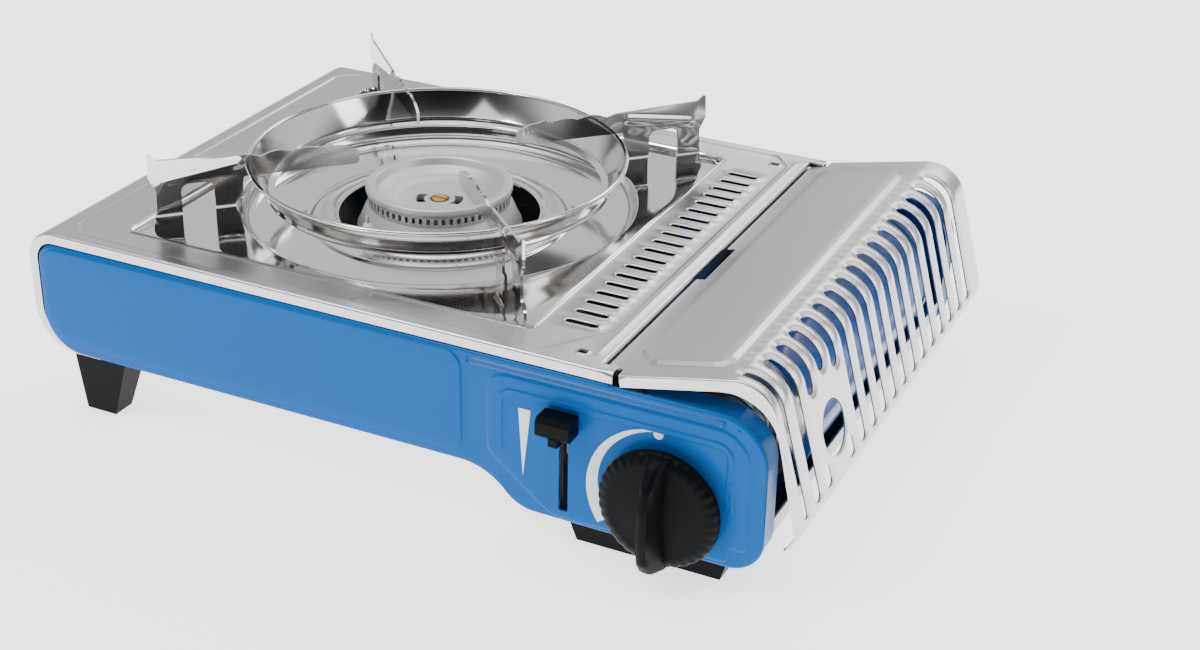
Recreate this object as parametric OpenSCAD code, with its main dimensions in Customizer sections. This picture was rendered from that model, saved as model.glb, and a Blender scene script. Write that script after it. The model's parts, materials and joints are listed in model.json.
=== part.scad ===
/* [Body] */
// Depth of the casing, front to back
body_d = 230; // [228:1:236]
// Distance from the burner axis to the left side
left_w = 134; // [132:1:138]
// Height of the top plate above the ground
top_z = 82.5; // [82:0.5:84]
// Thickness of the casing sheet
sheet = 0.8; // [0.6:0.1:0.9]
// Width of the stainless rim around the blue panels
band_w = 4.6; // [4:0.2:5]
// Number of vent slots beside the burner
vent_count = 19; // [9:1:19]

/* [Cartridge bay and lid] */
// Distance from the burner axis to the right side of the shut lid
right_w = 206.2; // [205.8:0.2:208]
// How far the lid stands open at rest, in degrees
lid_ajar = 12; // [8:1:16]
// Number of cooling slots in the lid
slot_count = 17; // [12:1:17]
// Radius of the gas cartridge
can_r = 33; // [31:0.5:33]

/* [Burner and pan support] */
// Half the width of the square recess
recess_half = 95.7; // [95:0.1:96]
// Radius of the wind ring's rim
ring_r = 83; // [81:0.5:84]
// Height of the wind ring's rim
ring_z = 100.5; // [99:0.5:101]
// Radius of the burner head's rim
head_r = 32.4; // [31:0.2:33]
// Number of flame ports
port_count = 60; // [36:2:60]

/* [Controls] */
// Radius of the knob's flange
knob_r = 24.5; // [22:0.5:25]
// How far the knob stands proud of the casing
knob_proud = 22; // [20:1:24]
// How far the lever and its cap travel
lever_travel = 26; // [22:1:26]
// How far the cartridge moves forward when it is locked
lock_travel = 4; // [3:0.5:4]

/* [Hidden] */
$fn = 64;

// Planes of the casing, all measured from the burner axis and the ground
front_y = -body_d / 2;
seam_x = 133;
tab_end_x = 139.2;
lid_notch_x = 142.2;
panel_y = front_y + 1.1;
field_y = front_y - 0.6;

// Profile of the casing and the panels
corner_r = 13.4;
foot_corner_r = 20;
low_z = 27;
bay_z = 12;
drop_x = 74;
drop_r1 = 27;
drop_r2 = 18;
drop_a = acos(1 - (low_z - bay_z) / (drop_r1 + drop_r2));
field_top = 77;
field_right = 202.3;
field_left = -left_w + band_w + 0.5;

// Lid hinge
hinge_x = 143;
hinge_z = 79.2;
hinge_pin_r = 1.2;
lid_corner_r = 16;
lid_lean = 3.5;
lid_curl_r = 9;
lid_curl_z = 24;
lip_z = 12.6;
lip_x = 198.5;

// Burner, tray and ring
tray_z = 80;
bowl_r = 87.5;
bowl_z = 71;
hole_r = 44.5;
fin_t = 1.2;

// Controls: the valve axis, the cartridge axis and the lever
knob_x = 162.5;
knob_z = 34;
spindle_r = 3;
boss_y = -101.4;
can_x = 169;
can_z = 47.5;
lever_x = 120.2;
cam_pin_y = -96;
cam_pin_z = 45.5;
cam_pin_r = 2;

// The origin is under the middle of the whole stove, lid ajar
lip_reach = hinge_x + (right_w - hinge_x) * cos(lid_ajar) + (hinge_z - lid_curl_z) * sin(lid_ajar);
mid_x = (lip_reach - left_w) / 2;
mid_y = (front_y - knob_proud - field_y) / 2;

function arc(cx, cy, r, a0, a1, n = 10) =
    [for (i = [0:n]) let (a = a0 + (a1 - a0) * i / n) [cx + r * cos(a), cy + r * sin(a)]];
function reversed(list) = [for (i = [len(list) - 1:-1:0]) list[i]];

// Sheet profiles are drawn as X-Z outlines and drawn out along Y
module along_y(y0, y1) translate([0, y1, 0]) rotate([90, 0, 0]) linear_extrude(y1 - y0) children();
module along_x(x0, x1) translate([x0, 0, 0]) rotate([90, 0, 90]) linear_extrude(x1 - x0) children();
module rod_y(x, z, y0, y1, r) translate([x, y1, z]) rotate([90, 0, 0]) cylinder(r = r, h = y1 - y0);
module rod_x(y, z, x0, x1, r) translate([x0, y, z]) rotate([0, 90, 0]) cylinder(r = r, h = x1 - x0);
module block(x0, x1, y0, y1, z0, z1) translate([x0, y0, z0]) cube([x1 - x0, y1 - y0, z1 - z0]);
module both_ends() { children(); mirror([0, 1, 0]) children(); }
module place() translate([-mid_x, -mid_y, 0]) children();

// A round tube through hand-placed points, eased into arcs at each bend
function unit(v) = v / norm(v);
function bend(a, b, c, r, n = 4) =
    let (u = unit(a - b), w = unit(c - b)) [for (i = [0:n]) let (t = i / n)
        (1 - t) * (1 - t) * (b + u * r) + 2 * t * (1 - t) * b + t * t * (b + w * r)];
function route(p, r) = concat([p[0]],
    [for (i = [1:len(p) - 2]) each bend(p[i - 1], p[i], p[i + 1], r)], [p[len(p) - 1]]);
function side_of(t) = unit(cross(t, abs(t.z) < 0.9 ? [0, 0, 1] : [0, 1, 0]));
module tube(p, r, sides = 8) {
    n = len(p);
    dirs = [for (i = [0:n - 1]) unit(p[min(i + 1, n - 1)] - p[max(i - 1, 0)])];
    rings = [for (i = [0:n - 1]) let (s = side_of(dirs[i]), t = cross(dirs[i], s))
        each [for (k = [0:sides - 1]) p[i] + r * (s * cos(k * 360 / sides) + t * sin(k * 360 / sides))]];
    walls = [for (i = [0:n - 2], k = [0:sides - 1]) let (q = (k + 1) % sides)
        [i * sides + k, (i + 1) * sides + k, (i + 1) * sides + q, i * sides + q]];
    polyhedron(rings, concat(walls, [[for (k = [0:sides - 1]) k],
        [for (k = [sides - 1:-1:0]) (n - 1) * sides + k]]));
}

// Outline of the left casing from the seam, over the top and round to the floor
function shell_line(i, end_x = seam_x) = concat([[end_x, top_z - i]],
    arc(-left_w + corner_r, top_z - corner_r, corner_r - i, 90, 180),
    arc(-left_w + foot_corner_r, low_z + foot_corner_r, foot_corner_r - i, 180, 270),
    [[-100, low_z + i]]);
// Outer edge of the raised blue field where it faces the casing's rim
function field_left_line(i) = concat(
    arc(field_left + 9, top_z - band_w - 9.5, 9 - i, 90, 180),
    arc(field_left + 18, low_z + 18.5, 18 - i, 180, 270));
// The whole blue field: low on the bay side, with an S-shaped drop between
function field_line(i) = concat(
    [[hinge_x - 5, field_top - i], [hinge_x - 5, top_z - band_w - 0.5 - i]],
    field_left_line(i),
    arc(drop_x, low_z + 0.5 - drop_r1, drop_r1 + i, 90, 90 - drop_a),
    arc(drop_x + (drop_r1 + drop_r2) * sin(drop_a), bay_z + 0.5 + drop_r2, drop_r2 - i, 270 - drop_a, 270),
    arc(field_right - 14, bay_z + 14, 14 - i, 270, 360),
    arc(field_right - 20, field_top - 20, 20 - i, 0, 90));

module lug_window(x, y) block(x - 2, x + 2, y - 1.5, y + 1.5, top_z - 4, top_z + 1);

module top_shell() color("silver") {
    difference() {
        union() {
            along_y(front_y, -front_y) polygon(concat(shell_line(0), reversed(shell_line(sheet))));
            block(seam_x - sheet, seam_x, front_y + 6, -front_y - 6, top_z - 6, top_z - 0.1);
            both_ends() {
                along_y(front_y, front_y + sheet)
                    polygon(concat(shell_line(0, tab_end_x), reversed(concat(
                        [[tab_end_x, top_z - band_w]], arc(field_left + 8.5, top_z - band_w - 9, 9, 90, 180),
                        arc(field_left + 17.5, low_z + 18.5, 18, 180, 262)))));
                block(seam_x - 1, tab_end_x, front_y, front_y + 5.6, top_z - sheet, top_z);
            }
            // Turned-down edge and ledge that the drip tray sits in
            block(-recess_half - sheet, recess_half + sheet, -recess_half - sheet,
                recess_half + sheet, tray_z - 2.4, top_z - 0.1);
        }
        block(-recess_half, recess_half, -recess_half, recess_half, tray_z - 1.2, top_z + 1);
        block(5 - recess_half, recess_half - 5, 5 - recess_half, recess_half - 5, tray_z - 4, top_z + 1);
        for (i = [0:vent_count - 1]) translate([111.2, -1.5 + (i - (vent_count - 1) / 2) * 9.1, 0]) {
            block(-5.5, 5.5, -1.5, 1.5, top_z - 2, top_z + 1);
            for (s = [-1, 1]) translate([s * 5.5, 0, top_z - 2]) cylinder(r = 1.5, h = 3);
        }
        lug_window(122.4, front_y + 10);
        lug_window(119.5, -front_y - 15);
        for (p = foot_places) translate([p.x, p.y, low_z - 1]) cylinder(r = 2, h = 4);
    }
}

// Both blue panels: a flat back plate and a field pressed forward through the rim
module panel_sheet() {
    difference() {
        union() {
            along_y(panel_y, panel_y + sheet) union() {
                polygon(concat(shell_line(sheet + 0.4, seam_x + 5),
                    [[-100, low_z + 4], [seam_x + 5, low_z + 4]]));
                polygon(field_line(0));
            }
            along_y(field_y, panel_y + sheet) polygon(field_line(0));
            // Edge turned back under the lid
            along_y(panel_y, panel_y + 10) difference() {
                polygon(field_line(0));
                polygon(field_line(sheet));
                translate([-200, 0]) square([356, 100]);
                translate([-200, 0]) square([500, low_z]);
            }
        }
        along_y(field_y + sheet, panel_y + 20) polygon(field_line(sheet));
    }
}

module front_panel() color("deepskyblue") difference() {
    panel_sheet();
    rod_y(knob_x, knob_z, field_y - 1, panel_y + 2, 8);
    block(lever_x - 1.95, lever_x + 1.95, field_y - 1, panel_y + 2, 17.7, 61.5);
}
module rear_panel() color("deepskyblue") mirror([0, 1, 0]) panel_sheet();

// Floor of the stove, stepped down under the bay and turned up at the right
function floor_line(i) = concat([[-112, low_z + sheet + i]],
    arc(drop_x, low_z + sheet - drop_r1, drop_r1 + i, 90, 90 - drop_a),
    arc(drop_x + (drop_r1 + drop_r2) * sin(drop_a), bay_z + sheet + drop_r2, drop_r2 - i, 270 - drop_a, 270),
    arc(field_right - 15, bay_z + sheet + 14, 14 - i, 270, 360), [[field_right - 1 - i, 30]]);
module base_pan() color("gray") difference() {
    union() {
        along_y(panel_y + sheet, -panel_y - sheet) polygon(concat(floor_line(0), reversed(floor_line(sheet))));
        both_ends() along_y(panel_y + sheet, panel_y + 2 * sheet) intersection() {
            polygon(concat(floor_line(0), [[field_right - 1, 60], [-112, 60]]));
            union() {
                translate([-112, low_z]) square([180, 9]);
                translate([105, bay_z]) square([75, 4]);
            }
        }
    }
    for (p = foot_places) translate([p.x, p.y, 0]) cylinder(r = 2, h = 40);
}

module bulkhead() color("lightgray") difference() {
    union() {
        block(130.6, 131.4, panel_y + 2, -panel_y - 2, bay_z + 2 * sheet, top_z - 6.5);
        block(126, 131.4, -58, -panel_y - 2, bay_z + 2 * sheet, bay_z + 3 * sheet);
    }
    block(130, 132, panel_y + 1, -64, 15, 74);
}

// Feet: x, y, and which kind
foot_y = front_y + 18.5;
left_foot_y = front_y + 8.5;
foot_places = [[-106, left_foot_y], [-106, -left_foot_y], [152.5, foot_y], [152.5, -foot_y]];
module left_foot(p) color("black") let (s = sign(p.y)) difference() {
    intersection() {
        along_y(p.y - 13, p.y + 13)
            polygon([[p.x - 7.5, 0], [p.x + 7.5, 0], [p.x + 16, low_z], [p.x - 10.5, low_z]]);
        along_x(p.x - 20, p.x + 20)
            polygon([[p.y + s * 5.5, 0], [p.y + s * 6.5, low_z], [p.y - s * 8.5, low_z], [p.y - s * 5.5, 0]]);
    }
    translate([p.x, p.y, -1]) cylinder(r = 3.8, h = 19);
    translate([p.x, p.y, 0]) cylinder(r = 1.6, h = low_z + 1);
}
foot_top = bay_z + sheet;
module right_foot(p) color("black") difference() {
    intersection() {
        along_y(p.y - 13, p.y + 13)
            polygon([[p.x - 30.5, 0], [p.x + 30.5, 0], [p.x + 34.5, foot_top], [p.x - 34.5, foot_top]]);
        along_x(p.x - 40, p.x + 40)
            polygon([[p.y - 11, 0], [p.y + 11, 0], [p.y + 12.5, foot_top], [p.y - 12.5, foot_top]]);
    }
    translate([p.x, p.y, -1]) cylinder(r = 4.2, h = 6);
    translate([p.x, p.y, 0]) cylinder(r = 1.6, h = bay_z + 2);
}
module foot_front_left() left_foot(foot_places[0]);
module foot_rear_left() left_foot(foot_places[1]);
module foot_front_right() right_foot(foot_places[2]);
module foot_rear_right() right_foot(foot_places[3]);

module foot_screw(head_z, tip_z) {
    difference() {
        translate([0, 0, head_z]) cylinder(r = 3.2, h = 2);
        block(-2.4, 2.4, -0.45, 0.45, head_z - 1, head_z + 0.9);
        block(-0.45, 0.45, -2.4, 2.4, head_z - 1, head_z + 0.9);
    }
    translate([0, 0, head_z + 2]) cylinder(r = 1.5, h = tip_z - head_z - 2);
}
module foot_screws() color("gainsboro") for (p = foot_places) translate([p.x, p.y, 0])
    if (p.x < 0) foot_screw(16, low_z + 6); else foot_screw(3, bay_z + 5);

// Fixed hinge lugs at both ends of the seam, one rivet pin in each
module hinge_lugs() color("silver") both_ends() difference() {
    along_y(front_y + 4.4, front_y + 5.6) union() {
        polygon([[131.4, 62], [141, 68], [hinge_x + 1.9, hinge_z - 0.5], [hinge_x - 1.9, hinge_z - 0.5],
            [137, 72], [131.4, 70]]);
        translate([hinge_x, hinge_z]) circle(r = 2.1);
    }
    rod_y(hinge_x, hinge_z, front_y + 4, front_y + 6, hinge_pin_r);
}
module hinge_pins() color("gainsboro") both_ends() {
    rod_y(hinge_x, hinge_z, front_y + 2.6, front_y + 5.6, hinge_pin_r);
    rod_y(hinge_x, hinge_z, front_y + 2.2, front_y + 2.6, 1.9);
}

module burner_base() color("darkgray") difference() {
    rotate_extrude() polygon([[0, 36], [13, 36], [14, 37], [14, 66], [36, 66], [36.5, 66.5], [36.5, 68.2],
        [35.4, 70.4], [33.6, 74.6], [head_r - 0.8, 78.6], [25, 78.6], [22, 74], [20, 70],
        [11, 68], [11, 39], [0, 39]]);
    rod_x(0, 49, 8, 20, 9);
}
module burner_head() color("silver") difference() {
    rotate_extrude() polygon(concat([[0, 74], [7, 74], [8, 76], [24.5, 78.6], [head_r - 1, 78.6], [head_r - 1, 83.4],
        [head_r - 0.4, 83.8], [head_r, 85]], arc(head_r - 1.2, 86.2, 1.2, 0, 90, 5),
        [[28.9, 87.2], [28.2, 86.6], [26.8, 84], [23, 81.5], [18, 79.9], [12, 79.2], [4.5, 79.2], [4.5, 77], [0, 77]]));
    for (i = [0:port_count - 1]) rotate([0, 0, (i + 0.5) * 360 / port_count])
        block(27.6, head_r + 1, -0.8, 0.8, 80.3, 83);
    // Two slots beside the screw
    for (a = [15, 205]) rotate([0, 0, a]) difference() {
        intersection() {
            translate([0, 0, 70]) cylinder(r = 10.5, h = 12);
            block(5, 12, -4.5, 4.5, 70, 82);
        }
        translate([0, 0, 69]) cylinder(r = 6.8, h = 14);
    }
    translate([0, 0, 70]) cylinder(r = 1.6, h = 12);
}
module burner_screw() color("goldenrod") {
    difference() {
        translate([0, 0, 77]) cylinder(r1 = 3.8, r2 = 3.3, h = 2.6);
        block(-4, 4, -0.5, 0.5, 78.6, 80);
    }
    translate([0, 0, 70]) cylinder(r = 1.6, h = 7);
}
module burner_bracket() color("lightgray") difference() {
    union() {
        block(-9, 9, -52, 52, 65.2, 66);
        both_ends() block(-9, 9, -52, -51.2, low_z + 2 * sheet, 66);
        both_ends() block(-9, 9, -62, -51.2, low_z + 2 * sheet, low_z + 3 * sheet);
        block(-17, 17, -17, 17, 65.2, 66);
    }
    translate([0, 0, 60]) cylinder(r = 14, h = 8);
}
module mixing_tube() color("silver") difference() {
    union() {
        rod_x(0, 49, 11.4, 100, 9);
        translate([100, 0, 49]) rotate([0, 90, 0]) cylinder(r1 = 9, r2 = 12.5, h = 6);
    }
    rod_x(0, 49, 0, 100.1, 8);
    translate([100, 0, 49]) rotate([0, 90, 0]) cylinder(r1 = 8, r2 = 11.6, h = 6.1);
    translate([0, 0, 30]) cylinder(r = 11.4, h = 40);
}
module injector() color("goldenrod") difference() {
    union() {
        rod_x(0, 49, 104, 122, 3.5);
        translate([110.8, 0, 49]) rotate([0, 90, 0]) cylinder(r = 6, h = 4, $fn = 6);
    }
    rod_x(0, 49, 103, 106, 0.5);
    rod_x(0, 49, 106, 119, 1.6);
}
module injector_bracket() color("lightgray") difference() {
    union() {
        block(109.6, 110.8, -10, 10, bay_z + 2 * sheet, 58);
        block(109.6, 118, -10, 10, bay_z + 2 * sheet, bay_z + 3.5 * sheet);
    }
    rod_x(0, 49, 109, 112, 3.5);
}
module gas_pipe() color("goldenrod")
    tube(route([[122, 0, 49], [126, 0, 49], [126, -20, 40], [126, -60, 30], [126, -88, 26], [136, -94, 26], [146, -94, 26]], 3.5), 2.2);

module regulator_body() color("gainsboro") difference() {
    union() {
        rod_y(164, 41, -100, -88, 21);
        rod_y(can_x, can_z, -89, -84.3, 9);
        rod_y(knob_x, knob_z, boss_y, -99, 7);
        rod_x(-94, 26, 146, 156, 4.5);
        rod_x(-94, 44, 140, 150, 5);
    }
    rod_y(can_x, can_z, -93, -84, 3.7);
}
module regulator_cap() color("lightgray") {
    rod_x(-94, 44, 136, 139, 8);
    rod_x(-94, 44, 139, 140, 5.8);
}
module regulator_bracket() color("gray") difference() {
    block(157, 181, -98, -90, bay_z + 2 * sheet, 26);
    rod_y(164, 41, -99, -88, 21.05);
    block(161, 177, -99, -89, bay_z, 18);
}
module regulator_screws() color("gainsboro") for (s = [-1, 1])
    rod_y(164 + s * 13, 41 + 11, -101.6, -100, 2.2);

module piezo_igniter() color("black") {
    block(134, 146, -112, -103, 28, 40);
    rod_y(140, 34, -103, -99, 2.4);
}
module ignition_lead() color("crimson") tube(route([[140, -99, 34], [140, -92, 30], [134, -80, 18], [124, -62, 18],
    [110, -58, 26], [88, -56, 36], [40, -50, 38], [0, -44, 42], [-14, -37.5, 50], [-14, -37.5, 59.8]], 4), 1.2, 8);
module electrode_insulator() color("white") translate([-14, -37.5, 0]) difference() {
    union() {
        translate([0, 0, 59.8]) cylinder(r = 2.6, h = 17.2);
        translate([0, 0, 64]) cylinder(r = 3.6, h = 2.4);
        translate([0, 0, 77]) cylinder(r1 = 2.6, r2 = 1.6, h = 2);
    }
    translate([0, 0, 75]) cylinder(r = 0.8, h = 6);
}
module electrode_pin() color("dimgray") translate([-14, -37.5, 75]) cylinder(r = 0.8, h = 7.5);
module electrode_bracket() color("lightgray") difference() {
    block(-19, -6, -42.5, -32.5, 64.2, 65.2);
    translate([-14, -37.5, 60]) cylinder(r = 3.6, h = 9);
}

module cartridge_saddles() color("lightgray") for (y = [-40, 58]) along_y(y, y + 6) difference() {
    translate([146, bay_z + 2 * sheet]) square([40, 15]);
    translate([can_x, can_z]) circle(r = can_r + 0.4);
}
module lever_guide() color("lightgray") {
    block(116.8, 118, panel_y + 2, -90, bay_z + 2 * sheet, 78);
    block(110, 118, -98, -90, bay_z + 2 * sheet, bay_z + 3 * sheet);
}
coil_turns = 3;
module spindle_spring() color("silver") tube([for (i = [0:coil_turns * 12]) let (a = i * 30, h = i / (coil_turns * 12))
    [knob_x + 4.9 * cos(a), boss_y - 0.4 - 4.5 * h, knob_z + 4.9 * sin(a)]], 0.3, 6);

// Lid, drawn shut and then turned about its hinge. Its side leans out to the foot.
lid_corner_x = right_w - (lid_corner_r + (top_z - lid_corner_r - lid_curl_z) * tan(lid_lean));
lid_corner_z = top_z - lid_corner_r;
curl_x = right_w - lid_curl_r;
function lid_bend(i) = concat(
    arc(lid_corner_x, lid_corner_z, lid_corner_r - i, 90, lid_lean, 12),
    arc(curl_x, lid_curl_z, lid_curl_r - i, lid_lean, -45, 5));
function lid_line(i) = concat([[seam_x + 1.3, top_z - i]], lid_bend(i), [[lip_x - i * 0.7, lip_z + i * 0.7]]);
function lid_rim() = concat([[lid_notch_x, top_z]], lid_bend(0), [[field_right + 0.5, lid_curl_z - 8.5]],
    arc(field_right - 20, field_top - 20, 20.5, 0, 90), [[lid_notch_x, field_top + 0.9]]);
module lid_slot(y, w, top_x, foot_z) {
    block(top_x, right_w + 5, y - w, y + w, foot_z + w, 90);
    translate([top_x, y, 72]) cylinder(r = w, h = 20);
    rod_x(y, foot_z + w, 195, right_w + 5, w);
}
// Short slot below the finger hole
module foot_slot(y, foot_z, head_z) intersection() {
    lid_slot(y, 3, 191, foot_z);
    block(190, right_w + 5, y - 4, y + 4, 10, head_z);
}
slot_pitch = 12.77;
first_slot_y = -107.2;
grip_i = 3;
grip_y = first_slot_y + grip_i * slot_pitch;
grip_z = 42;
module lid_shut() difference() {
    union() {
        difference() {
            along_y(front_y, -front_y) polygon(concat(lid_line(0), reversed(lid_line(sheet))));
            both_ends() block(seam_x, lid_notch_x, front_y - 1, front_y + 6, 70, 90);
            block(seam_x, 138.2, -24.5, 8, 70, 90);
            for (i = [0:slot_count - 1]) let (y = first_slot_y + i * slot_pitch) {
                if (i == 0) lid_slot(y, 1.7, 190.6, 23);
                else if (abs(i - grip_i) > 1) lid_slot(y, 3, 195, 23);
                else lid_slot(y, 3, 195, i == grip_i ? 65.5 : 61.5);
                if (abs(i - grip_i) == 1) foot_slot(y, 22.5, 32);
            }
            rod_x(grip_y, grip_z, 195, right_w + 5, 11);
        }
        both_ends() {
            along_y(front_y, front_y + sheet) polygon(lid_rim());
            // Ear that turns on the hinge pin
            along_y(front_y + 3, front_y + 4) union() {
                translate([hinge_x, hinge_z]) circle(r = 2.2);
                polygon([[hinge_x, hinge_z - 2.2], [156, hinge_z - 1], [156, top_z - 0.4], [hinge_x, top_z - 0.4]]);
            }
        }
    }
    rod_y(hinge_x, hinge_z, front_y + 1, -front_y - 1, hinge_pin_r + 0.05);
}
module lid() color("silver") translate([hinge_x, 0, hinge_z]) rotate([0, -lid_ajar, 0])
    translate([-hinge_x, 0, -hinge_z]) lid_shut();

// Knob, its spindle and the collar that it pushes
knob_back = field_y - 3.2;
knob_front = front_y - knob_proud;
module push_collar() color("gainsboro") difference() {
    rod_y(knob_x, knob_z, -108, -106.7, 6.4);
    rod_y(knob_x, knob_z, -109, -106, spindle_r + 0.05);
}
module valve_spindle() color("goldenrod") rod_y(knob_x, knob_z, knob_back - 6, boss_y - 2.9, spindle_r);
module igniter_cam() color("black") difference() {
    along_y(-111.6, -108.3) translate([knob_x, knob_z]) union() {
        circle(r = 9);
        polygon(concat([[0, 0]], arc(0, 0, 12, 20, 60, 8)));
    }
    rod_y(knob_x, knob_z, -112, -108, spindle_r);
}
// Side of the grip: how far it stands out over its height
module grip_arch(i) polygon([[knob_back - 3.5, knob_z - knob_r + 0.5], [knob_back - 9 + i / 2, knob_z - knob_r + 0.5],
    [knob_front + 5 + i, knob_z - knob_r + 3], [knob_front + 1.5 + i, knob_z - knob_r + 8],
    [knob_front + i, knob_z - 6], [knob_front + 0.5 + i, knob_z + 6], [knob_front + 3 + i, knob_z + 15],
    [knob_front + 8 + i, knob_z + knob_r - 3], [knob_back - 5, knob_z + knob_r - 0.5],
    [knob_back - 3.5, knob_z + knob_r - 0.5]]);
module knob() color("black") difference() {
    union() {
        translate([knob_x, knob_back, knob_z]) rotate([90, 0, 0]) {
            cylinder(r = knob_r, h = 2.5);
            translate([0, 0, 2.5]) cylinder(r1 = knob_r, r2 = knob_r - 1.5, h = 1.5);
            translate([0, 0, 4]) cylinder(r1 = knob_r - 1.5, r2 = knob_r - 5, h = 1.5);
            translate([0, 0, 5.5]) cylinder(r1 = knob_r - 5, r2 = knob_r - 14, h = 1.5);
        }
        // Arched grip across the face, thinner at its crest
        along_x(knob_x - 3, knob_x + 3) grip_arch(0);
        along_x(knob_x - 4.2, knob_x + 4.2) grip_arch(3);
    }
    rod_y(knob_x, knob_z, knob_back - 6, knob_back + 1, spindle_r);
    difference() {
        rod_y(knob_x, knob_z, knob_back - 3.5, knob_back + 1, knob_r - 2.5);
        rod_y(knob_x, knob_z, knob_back - 4, knob_back + 2, 6);
    }
    for (a = [0:10:350]) translate([knob_x, 0, knob_z]) rotate([0, a, 0]) rod_y(knob_r + 0.5, 0, knob_back - 4, knob_back + 1, 1);
}

// Lever plate with a slanted cam slot; its arm comes out through the panel
cam_lean = atan(lock_travel / lever_travel);
module lever_arm() color("silver") along_x(119, 121.4) difference() {
    polygon([[-92, cam_pin_z - 5], [-92, cam_pin_z + lever_travel + 4.5],
        [-111, cam_pin_z + lever_travel + 4.5], [-111, 60.5], [front_y - 9, 60.5], [front_y - 9, 51.5],
        [-111, 51.5], [-111, cam_pin_z - 5]]);
    polygon(concat(arc(cam_pin_y, cam_pin_z, cam_pin_r + 0.3, cam_lean - 180, cam_lean, 12),
        arc(cam_pin_y - lock_travel, cam_pin_z + lever_travel, cam_pin_r + 0.3, cam_lean, cam_lean + 180, 12)));
}
module lever_cap() color("black") difference() {
    along_x(113, 127) polygon([[front_y - 2.5, 54.5], [front_y - 10, 54], [front_y - 11.5, 55.5],
        [front_y - 11.5, 60.5], [front_y - 10, 62.5], [front_y - 2.5, 62.5]]);
    block(119, 121.4, front_y - 9, front_y - 2, 50, 60.5);
}

module cartridge_can() color("royalblue") rod_profile([[0, 74], [can_r - 6, 76], [can_r - 2.5, 80], [can_r, 80],
    [can_r, 77], [can_r - 0.6, 76], [can_r - 0.6, -61], [can_r, -62], [can_r, -64.8], [can_r - 3, -64.8], [0, -62]]);
module cartridge_dome() color("gainsboro") rod_profile([[0, -63.8], [can_r - 3.2, -64.9], [can_r - 4, -66.5], [20, -70.6], [12, -71],
    [12, -74], [17, -74], [17, -77.6], [16, -78], [0, -78]]);
module cartridge_valve() color("goldenrod") rod_y(can_x, can_z, -84, -78, 3);
// Outline of radius and Y turned about the cartridge's axis
module rod_profile(p) translate([can_x, 0, can_z]) rotate([-90, 0, 0]) rotate_extrude() polygon(p);

module cartridge_hook() color("lightgray") difference() {
    union() {
        block(128, can_x + 17, -73.4, -72, 34, 61);
        block(126.4, 128, -101, -72, 36, 56);
    }
    rod_y(can_x, can_z, -75, -70, 12.4);
    block(can_x - 12.4, can_x + 12.4, -75, -70, can_z, 70);
    rod_x(cam_pin_y, cam_pin_z, 126, 129, cam_pin_r);
}
module hook_pin() color("gainsboro") {
    rod_x(cam_pin_y, cam_pin_z, 118.6, 128, cam_pin_r);
    rod_x(cam_pin_y, cam_pin_z, 128, 129, 3);
}

// Pan support: tray, wind ring and four fins that lift off together
module drip_tray() color("silver") union() {
    difference() {
        block(0.8 - recess_half, recess_half - 0.8, 0.8 - recess_half, recess_half - 0.8, tray_z - 0.8, tray_z);
        translate([0, 0, tray_z - 2]) cylinder(r = bowl_r, h = 4);
    }
    rotate_extrude() polygon(concat([[bowl_r + 0.01, tray_z], [bowl_r - 0.8, tray_z]],
        arc(bowl_r - 6, bowl_z + 4.8, 4, 0, -90, 6), [[hole_r + 2, bowl_z + 0.8], [hole_r + 1, bowl_z + 2.4], [hole_r, bowl_z + 2.4],
        [hole_r + 1, bowl_z]], arc(bowl_r - 6, bowl_z + 4.8, 4.8, -90, 0, 6), [[bowl_r, tray_z - 0.8], [bowl_r + 0.01, tray_z - 0.8]]));
}
module wind_ring() color("silver") rotate_extrude() polygon(concat(
    arc(ring_r - 0.9, ring_z - 0.9, 0.9, -30, 200, 8),
    [[74.2, 88.6], [74.9, 87.4], [71.6, 86.2], [71.9, 85.5], [76, 86.9], [75.2, 88.6], [ring_r - 1, ring_z - 1.6]]));

module fin() translate([0, fin_t / 2, 0]) rotate([90, 0, 0]) linear_extrude(fin_t) difference() {
    polygon(concat([[85.9, tray_z], [85.9, ring_z - 3], [85.2, ring_z], [36.5, ring_z], [35.3, ring_z + 1.2], [35.3, 106], [37, 107.4], [42, 109.4]],
        arc(48, 107.5, 3, 130, 50, 4), arc(51.8, 110.2, 0.9, 200, 340, 4), arc(58, 90, 20.4, 102, 78, 6),
        arc(63.6, 110.2, 0.9, 200, 340, 4), arc(70, 97, 13.6, 110, 70, 5), [[77.5, 108.6], [82, 110]],
        [[121, 111.8], [123.6, 114.2], [124.8, 114.2], [125.2, 104], [122.3, 98], [122.6, 89], [124.4, tray_z], [112, tray_z]],
        [[112, 96.5]], arc(108.5, 96.5, 3.5, 0, 90, 5), arc(101.5, 96.5, 3.5, 90, 180, 5), [[98, tray_z]]));
}
module fin_front_left() color("silver") rotate([0, 0, 225]) fin();
module fin_rear_left() color("silver") rotate([0, 0, 135]) fin();
module fin_front_right() color("silver") rotate([0, 0, 315]) fin();
module fin_rear_right() color("silver") rotate([0, 0, 45]) fin();

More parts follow.
